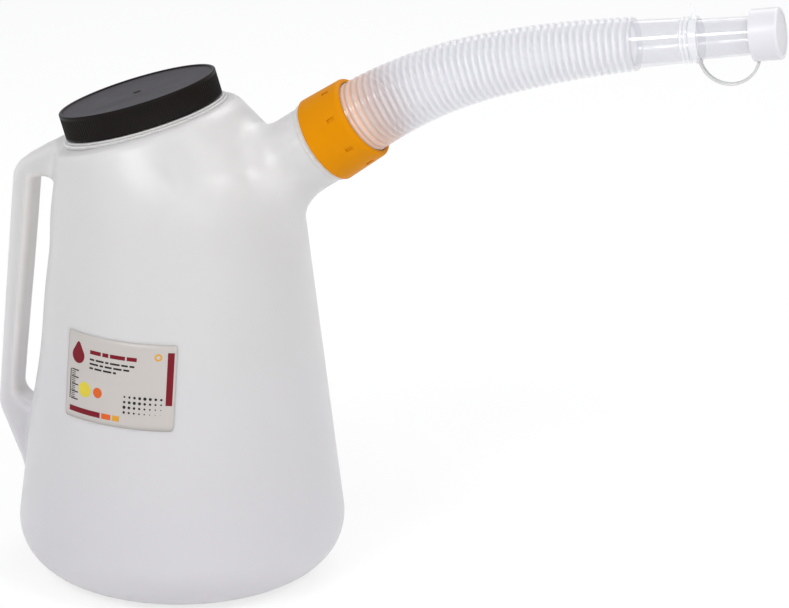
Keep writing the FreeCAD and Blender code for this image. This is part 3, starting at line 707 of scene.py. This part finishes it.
# ------------------------------------------------------------------ hose

def hose_frame(distance):
    """Centre point and rise of the hose at a distance past the collar."""
    point, rise = neck_origin + spout_axis * hose_start, spout_rise
    if distance <= 0:
        return point + spout_axis * distance, rise
    for length, turn in zip(hose_bend_lengths, hose_bend_angles):
        step = min(distance, length)
        by = turn * step / length
        chord = 2 * (length / math.radians(turn)) * math.sin(math.radians(by) / 2)
        point, rise = point + direction(rise - by / 2) * chord, rise - by
        distance -= step
        if distance <= 0:
            break
    return point, rise


def hose_crest(distance):
    share = min(1.0, max(0.0, distance / hose_length))
    return hose_crests[0] + (hose_crests[1] - hose_crests[0]) * share


def swept_tube(rows, columns):
    """Closed tube from (distance, radius, share of a ridge's height) rows swept along the hose."""
    turns = np.linspace(0, 2 * math.pi, columns, endpoint=False)
    points = []
    for distance, radius, _ in rows:
        point, rise = hose_frame(distance)
        u, v = frame_of(direction(rise))
        points.append(point + radius * (np.outer(np.cos(turns), u) + np.outer(np.sin(turns), v)))
    return np.concatenate(points), grid_faces(len(rows), columns, round_rows=True)


def hose_rows():
    """Ridges with rounded crests and tighter valleys outside, the same form a wall's thickness in inside."""
    per_ridge, pitch = 9, hose_length / hose_ridges
    back, sleeve = flange_outer - hose_start, hose_crests[0] - 0.05
    bore = hose_crests[0] - hose_ridge_depth - hose_wall
    outer = [(back - flange_thickness, collar_bore - 0.4, 0.5), (back - 0.3, collar_bore - 0.4, 0.5),
             (back, collar_bore - 0.7, 0.5), (back + 0.1, sleeve, 1.0), (-0.05, sleeve, 1.0)]
    inner = [(0.0, bore, 0.5)]
    count = hose_ridges * per_ridge
    fall = (hose_valley_at - hose_crest_at) % 1.0
    for i in range(1, count + 1):
        distance = hose_length * i / count
        phase = (distance / pitch - hose_crest_at) % 1.0
        bend = phase / fall * math.pi if phase < fall else math.pi * (1 + (phase - fall) / (1 - fall))
        shape = (0.5 + 0.5 * math.cos(bend)) ** 0.75
        if distance < hose_valley_at * pitch:
            shape = max(shape, 1 - distance / (hose_valley_at * pitch))
        radius = hose_crest(distance) - ridge_shown * (1 - shape)
        outer.append((distance, radius, shape))
        inner.append((distance, radius - hose_wall, shape))
    return outer + inner[::-1] + [(back - flange_thickness, bore, 0.5)]


def glow(distance, shape):
    """How much painted reflection of the collar's colour a point of the hose shows: less on the crests and
    further away.
    """
    return glow_share * math.exp(-(max(0.0, distance) / glow_reach) ** 2) * (1 - glow_lost * shape ** 4)


rows, columns = hose_rows(), 80
hose = mesh_piece("hose_ridged", *swept_tube(rows, columns), None, "hose_plastic", ridged)
held_by_points(hose, "ridge", np.repeat([shape ** 2 for _, _, shape in rows], columns))
# painted reflection of the collar's colour, held at each point
held_by_points(hose, "near_collar", np.repeat([glow(s, shape) for s, _, shape in rows], columns))
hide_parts("spout_hose")
bend_from, bend_to = (hose_frame(share * hose_length)[0] for share in bend_shares)
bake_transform(hose)


# ------------------------------------------------------------------ nozzle and tether

nozzle_origin, nozzle_rise = hose_frame(hose_length)
nozzle_axis, nozzle_up = direction(nozzle_rise), direction(nozzle_rise + 90)


def nozzle_radius(distance):
    if distance <= nozzle_step_at:
        fall = nozzle_step_radii[0] - nozzle_root_radius
        return nozzle_root_radius + fall * max(0.0, distance) / nozzle_step_at
    share = (distance - nozzle_step_at) / (nozzle_length - nozzle_step_at)
    return nozzle_step_radii[1] + (nozzle_tip_radius - nozzle_step_radii[1]) * share


def nozzle():
    """Tube from its spigot in the hose, over two beads and a step, to the rim that the cap grips."""
    spigot = hose_crest(hose_length) - hose_ridge_depth - hose_wall - running_gap
    rim, rim_radius = nozzle_length - nozzle_rim, cap_radius - cap_wall - running_gap
    step, past_step = nozzle_step_at, nozzle_step_at + nozzle_step_length
    profile = [(-spigot_shown, spigot), (running_gap, spigot), (running_gap, nozzle_root_radius)]
    for place in nozzle_beads_at:
        profile += [(place + along, nozzle_radius(place) + rise) for along, rise in bead_form]
    profile += [(step, nozzle_step_radii[0]), (past_step, nozzle_step_radii[1]),
                (rim - nozzle_rim_slope, nozzle_radius(rim - nozzle_rim_slope)), (rim, rim_radius),
                (nozzle_length, rim_radius), (nozzle_length, nozzle_tip_radius - nozzle_wall),
                (past_step, nozzle_step_radii[1] - nozzle_wall), (step, spigot - nozzle_wall),
                (-spigot_shown, spigot - nozzle_wall)]
    return turned(held_flat(bevelled(profile, {2: 0.3})), nozzle_origin, nozzle_axis, 96)


tube = mesh_piece("nozzle_tube", *nozzle(), "nozzle", "nozzle_plastic", clear)
tube.data.materials.append(tether_clear_painted_highlight)
# the nozzle's beads take the lighter plastic as a painted highlight
for face in tube.data.polygons:
    along = float((np.array(face.center) / MM - nozzle_origin) @ nozzle_axis)
    on_bead = min(abs(along - bead) for bead in nozzle_beads_at) < 0.75
    face.material_index = 1 if on_bead else 0
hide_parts("spout_nozzle")

ring_bore = nozzle_radius(tether_ring_at) + tether_ring_clearance
ring_outer, ring_end = ring_bore + tether_ring_wall, tether_ring_at + tether_ring_width
ring_middle, strap_foot = tether_ring_at + tether_ring_width / 2, ring_outer - tether_strap[0] / 2


def nozzle_point(distance, height, across=0.0):
    """Point at a distance along the nozzle's axis, a height above it and a distance to its side."""
    return nozzle_origin + nozzle_axis * distance + nozzle_up * height + np.array([0, across, 0])


def tether_ring():
    """Ring with its stalk on top."""
    ring = bevelled([(tether_ring_at, ring_bore), (tether_ring_at, ring_outer), (ring_end, ring_outer),
                     (ring_end, ring_bore)], {1: 0.55, 2: 0.55, 0: 0.25, 3: 0.25})
    r, top = tether_stalk_radius, tether_stalk_height
    stalk = [(0.0, pinhole), (0.0, 2 * r), (0.7, 1.75 * r), (1.4, 1.35 * r), (2.2, r), (top - 0.4, 0.92 * r),
             (top + 0.3, 0.85 * r), (top + 0.8, 0.55 * r), (top + 1.08, pinhole)]
    return joined(turned(ring, nozzle_origin, nozzle_axis, 96),
                  turned(stalk, nozzle_point(ring_middle, ring_outer - 0.6), nozzle_up, 28))


def tether_knob():
    """Knob under the ring, where the strap starts."""
    r = tether_knob_radius
    profile = [(-1.6, pinhole), (-1.5, 0.5 * r), (-1.2, 0.8 * r), (-0.6, r), (0.8, r), (1.5, 0.9 * r),
               (2.0, 0.6 * r), (2.25, pinhole)]
    return turned(profile, nozzle_point(ring_middle, -strap_foot - 0.35), nozzle_axis, 24)


def tether_loop():
    """Strap from the knob down and up to the cap, on the circle through its ends and its lowest point."""
    thick, width = tether_strap
    turn = (ring_end - tether_knob_radius, -strap_foot)
    middle = ((ring_end + cap_start) / 2, -(ring_outer + tether_sag))
    stop = (cap_start + tether_knob_radius, -cap_radius + 0.1)
    (x1, y1), (x2, y2), (x3, y3) = turn, middle, stop
    d = 2 * (x1 * (y2 - y3) + x2 * (y3 - y1) + x3 * (y1 - y2))
    cx = ((x1**2 + y1**2) * (y2 - y3) + (x2**2 + y2**2) * (y3 - y1) + (x3**2 + y3**2) * (y1 - y2)) / d
    cy = ((x1**2 + y1**2) * (x3 - x2) + (x2**2 + y2**2) * (x1 - x3) + (x3**2 + y3**2) * (x2 - x1)) / d
    radius = math.hypot(x1 - cx, y1 - cy)
    a1, a3 = math.atan2(y1 - cy, x1 - cx), math.atan2(y3 - cy, x3 - cx)
    if a1 > a3:
        a1 -= 2 * math.pi
    sides, steps, squareness, slimming = 16, 56, 0.5, (0.12, 0.10)
    points = []
    for i in range(steps + 1):
        w = i / steps
        a = a1 + (a3 - a1) * w
        t, b = (size / 2 * (1.0 - slim * math.sin(math.pi * w))
                for size, slim in zip((thick, width), slimming))
        for k in range(sides):
            q = 2 * math.pi * k / sides
            across = b * math.copysign(abs(math.cos(q)) ** squareness, math.cos(q))
            reach = radius + t * math.copysign(abs(math.sin(q)) ** squareness, math.sin(q))
            points.append(nozzle_point(cx + reach * math.cos(a), cy + reach * math.sin(a), across))
    faces = grid_faces(steps + 1, sides)
    faces += [tuple(range(sides))[::-1], tuple(range(steps * sides, (steps + 1) * sides))]
    return np.array(points), faces


ring = mesh_piece("tether_ring", *joined(tether_ring(), tether_knob()), "nozzle", "tether_plastic",
                  tether_clear_painted_highlight)
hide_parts("cap_tether")
strap = mesh_piece("tether_strap", *tether_loop(), None, "tether_plastic", strap_grey)
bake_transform(strap)


# ------------------------------------------------------------------ label

label_radius = side_radius(label_middle_z)
label_half = label_radius * math.sin(label_width / (2 * label_radius))
print_at = label_gap + label_thickness + ink_height


def label_point(across, up, outset=print_at):
    """Point on the wrapped label: distance across its chord, up its slope, and out from the wall."""
    draft = math.radians(side_draft)
    z = label_middle_z + up * math.cos(draft)
    radius = side_radius(z) + outset / math.cos(draft)
    turn = math.radians(label_turn) + math.asin(across / radius)
    return np.array([radius * math.cos(turn), radius * math.sin(turn), z])


def label_sheet():
    """Sheet of its own thickness, with its four corners cut a little."""
    columns, rows = 49, 17
    points = []
    for outset in (label_gap, label_gap + label_thickness):
        for i in range(rows):
            for j in range(columns):
                x = label_half * (2 * j / (columns - 1) - 1)
                y = label_height / 2 * (2 * i / (rows - 1) - 1)
                if i in (0, rows - 1) and j in (0, columns - 1):
                    x, y = x * (1 - label_corner / label_half), y * (1 - label_corner / (label_height / 2))
                points.append(label_point(x, y, outset))
    top = grid_faces(rows, columns, round_columns=False)
    half = rows * columns
    faces = [f[::-1] for f in top] + [tuple(k + half for k in f) for f in top]
    loop = ([j for j in range(columns)] + [i * columns + columns - 1 for i in range(1, rows)]
            + [(rows - 1) * columns + j for j in range(columns - 2, -1, -1)]
            + [i * columns for i in range(rows - 2, 0, -1)])
    for a, b in zip(loop, loop[1:] + loop[:1]):
        faces.append((a, b, b + half, a + half))
    return np.array(points), faces


sheet_piece = mesh_piece("label_sheet", *label_sheet(), "jug", "label_film", film)
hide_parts("label")


def bar(x0, x1, y0, y1):
    """Printed rectangle."""
    columns, rows = int(abs(x1 - x0) / 1.5) + 2, int(abs(y1 - y0) / 4) + 2
    points = [label_point(x0 + (x1 - x0) * j / (columns - 1), y0 + (y1 - y0) * i / (rows - 1))
              for i in range(rows) for j in range(columns)]
    return np.array(points), grid_faces(rows, columns, round_columns=False)


def disc(x, y, inner, outer, form=None):
    """Printed disc or ring; form gives its stretch in height at an angle."""
    count = 40
    points = []
    for r in (inner, (inner + outer) / 2, outer):
        for k in range(count):
            a = 2 * math.pi * k / count
            points.append(label_point(x + r * math.cos(a), y + r * math.sin(a) * (form(a) if form else 1.0)))
    return np.array(points), grid_faces(3, count)


def rounded_to_drop(a):
    """A disc drawn up to a point at its top."""
    return 1.0 + 0.75 * max(0.0, math.sin(a)) ** 6


def words(y, height, lengths, x=-17.5, space=1.0):
    """A line of plain bars, as long as words would be."""
    made = []
    for length in lengths:
        made.append(bar(x, x + length, y, y + height))
        x += length + space
    return made


def level_scale(x, y, width, steps, step):
    """Ticks beside an upright line, every fourth one long."""
    made = [bar(x, x + 0.7, y, y + steps * step + 0.4)]
    for k in range(steps + 1):
        share, thick = (1.0, 0.75) if k % 4 == 0 else (0.55, 0.45)
        made.append(bar(x + 1.2, x + 1.2 + share * width, y + k * step, y + k * step + thick))
    return made


dots = [disc(6.2 + 3.0 * i, -15.6 + 3.0 * j, 0.03, 0.95 - 0.09 * abs(i - 2 * j + 2))
        for i in range(8) for j in range(4)]
strip = (-21.5, -18.3)                      # foot and top of the band of colours along the label's foot
inks = {                                    # colour and shapes of each
    "ink_red": ((0.135, 0.002, 0.009),
                [disc(-26, 11.5, 0.05, 4.6, rounded_to_drop), bar(29.5, 33.0, -10, 20.5),
                 bar(-31, -9, *strip)] + words(14.2, 2.3, (7.5, 4.0, 9.5, 6.0))),
    "ink_orange": ((0.48, 0.085, 0.012), [bar(-8.0, -2.0, *strip), disc(-11.2, -7.2, 0.05, 3.0)]),
    "ink_amber": ((0.50, 0.24, 0.02), [bar(-1.0, 3.5, *strip), disc(24.5, 17.6, 1.1, 2.1)]),
    "ink_black": ((0.012, 0.011, 0.011),
                  level_scale(-31.5, -14.5, 5.2, 16, 1.05) + dots
                  + words(10.6, 1.1, (3.2, 5.4, 2.2, 6.1, 4.0, 2.9))
                  + words(8.1, 1.1, (6.0, 2.4, 4.6, 5.2, 3.6)) + words(5.6, 1.1, (2.6, 4.8, 5.5, 2.0))),
    "ink_yellow": ((0.50, 0.41, 0.04), [disc(-20.2, -7.2, 0.05, 4.4)]),
    "ink_grey": ((0.40, 0.385, 0.365), [disc(17, 0.2, 2.6, 3.1), disc(17, 0.2, 1.2, 1.6),
                                        bar(-6.5, 12.0, 0.6, 1.1), bar(-6.5, 12.0, -1.0, -0.5)]),
}
for ink, (colour, shapes) in inks.items():
    paler = tuple(1.25 * part for part in colour)
    paint = plastic(ink, (colour, paler), (0.45,), 90.0, Specular_IOR_Level=0.2)
    mesh_piece("label_" + ink, *joined(*shapes), "jug", "label_film", paint)


# ------------------------------------------------------------------ CAD nodes that stay

for name, made in (("spout_collar", amber), ("spout_gasket", rubber), ("filler_seal", liner),
                   ("spout_cap", cap_white)):
    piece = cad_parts[name]
    piece.data.materials.clear()
    piece.data.materials.append(made)


# ------------------------------------------------------------------ floor, light and camera

def either(made, *shares):
    """Largest of several sockets."""
    share = shares[0]
    for other in shares[1:]:
        share = node(made, "ShaderNodeMath", {0: share, 1: other}, operation="MAXIMUM").outputs[0]
    return share


def make_floor():
    """Wide pale floor that keeps the shadow, with some white of its own for the camera, gloss and glass."""
    half, drop, pale, white, own_white = 6.0, 0.0005, (0.93, 0.93, 0.93), (0.95, 0.95, 0.95), 0.72
    corners = ((-half, -half), (half, -half), (half, half), (-half, half))
    mesh = bpy.data.meshes.new("floor")
    mesh.from_pydata([(x, y, -drop) for x, y in corners], [], [(0, 1, 2, 3)])
    floor = bpy.data.objects.new("floor", mesh)
    bpy.context.scene.collection.objects.link(floor)
    made = bpy.data.materials.new("floor_white")
    made.use_nodes = True
    shader = made.node_tree.nodes["Principled BSDF"]
    shader.inputs["Roughness"].default_value = 0.9
    grain = node(made, "ShaderNodeTexNoise", {"Scale": 30.0})
    into(made, "Base Color", mixed(made, grain.outputs["Fac"], pale, white))
    shine = node(made, "ShaderNodeEmission", {"Color": (1, 1, 1, 1), "Strength": 1.0})
    path = node(made, "ShaderNodeLightPath").outputs
    seen = either(made, path["Is Camera Ray"], path["Is Glossy Ray"], path["Is Transmission Ray"])
    part = node(made, "ShaderNodeMath", {0: seen, 1: own_white}, operation="MULTIPLY")
    both = node(made, "ShaderNodeMixShader", {0: part.outputs[0], 1: shader.outputs[0], 2: shine.outputs[0]})
    made.node_tree.links.new(both.outputs[0], made.node_tree.nodes["Material Output"].inputs["Surface"])
    mesh.materials.append(made)


make_floor()

world = bpy.data.worlds.new("studio")
bpy.context.scene.world = world
world.use_nodes = True
soft = world.node_tree.nodes["Background"]
soft.inputs["Color"].default_value = (0.97, 0.98, 1.0, 1)
soft.inputs["Strength"].default_value = 0.62
white = node(world, "ShaderNodeBackground", {"Strength": 1.0})
path = node(world, "ShaderNodeLightPath").outputs
seen = either(world, path["Is Camera Ray"], path["Is Transmission Ray"])
both = node(world, "ShaderNodeMixShader", {0: seen, 1: soft.outputs[0], 2: white.outputs[0]})
world.node_tree.links.new(both.outputs[0], world.node_tree.nodes["World Output"].inputs["Surface"])


def softbox(name, place, aim, width, height, power):
    """Area lamp turned to a point, in metres and watts."""
    light = bpy.data.lights.new(name, "AREA")
    light.shape, light.size, light.size_y, light.energy = "RECTANGLE", width, height, power
    lamp = bpy.data.objects.new(name, light)
    bpy.context.scene.collection.objects.link(lamp)
    lamp.location = place
    lamp.rotation_euler = (Vector(aim) - Vector(place)).to_track_quat("-Z", "Y").to_euler()


shoulder_centre = (0.05, 0, 0.2)
softbox("key", (-0.52, -1.38, 1.40), shoulder_centre, 0.85, 0.42, 13)
softbox("side", (-1.20, -0.50, 1.46), shoulder_centre, 0.3, 0.3, 1.5)
softbox("fill", (1.22, -0.48, 1.52), shoulder_centre, 0.36, 0.36, 8)
softbox("front", (1.15, -1.65, 0.75), (0.0, 0, 0.17), 2.0, 1.6, 10)
softbox("rim", (0.2, 1.2, 1.4), (0.1, 0, 0.2), 1.0, 0.6, 7)

camera = bpy.data.cameras.new("camera")
camera.sensor_width, camera.lens = 36.0, 164.27
eye = bpy.data.objects.new("camera", camera)
bpy.context.scene.collection.objects.link(eye)
look = Vector((-0.27026891, 0.90269702, -0.33480265))
roll = Matrix.Rotation(math.radians(0.587), 3, "Z").to_quaternion()
eye.rotation_mode = "QUATERNION"
eye.rotation_quaternion = look.to_track_quat("-Z", "Y") @ roll
eye.location = (0.68242, -1.84700, 0.85675)
bpy.context.scene.camera = eye
bpy.context.scene.view_settings.view_transform = "Standard"
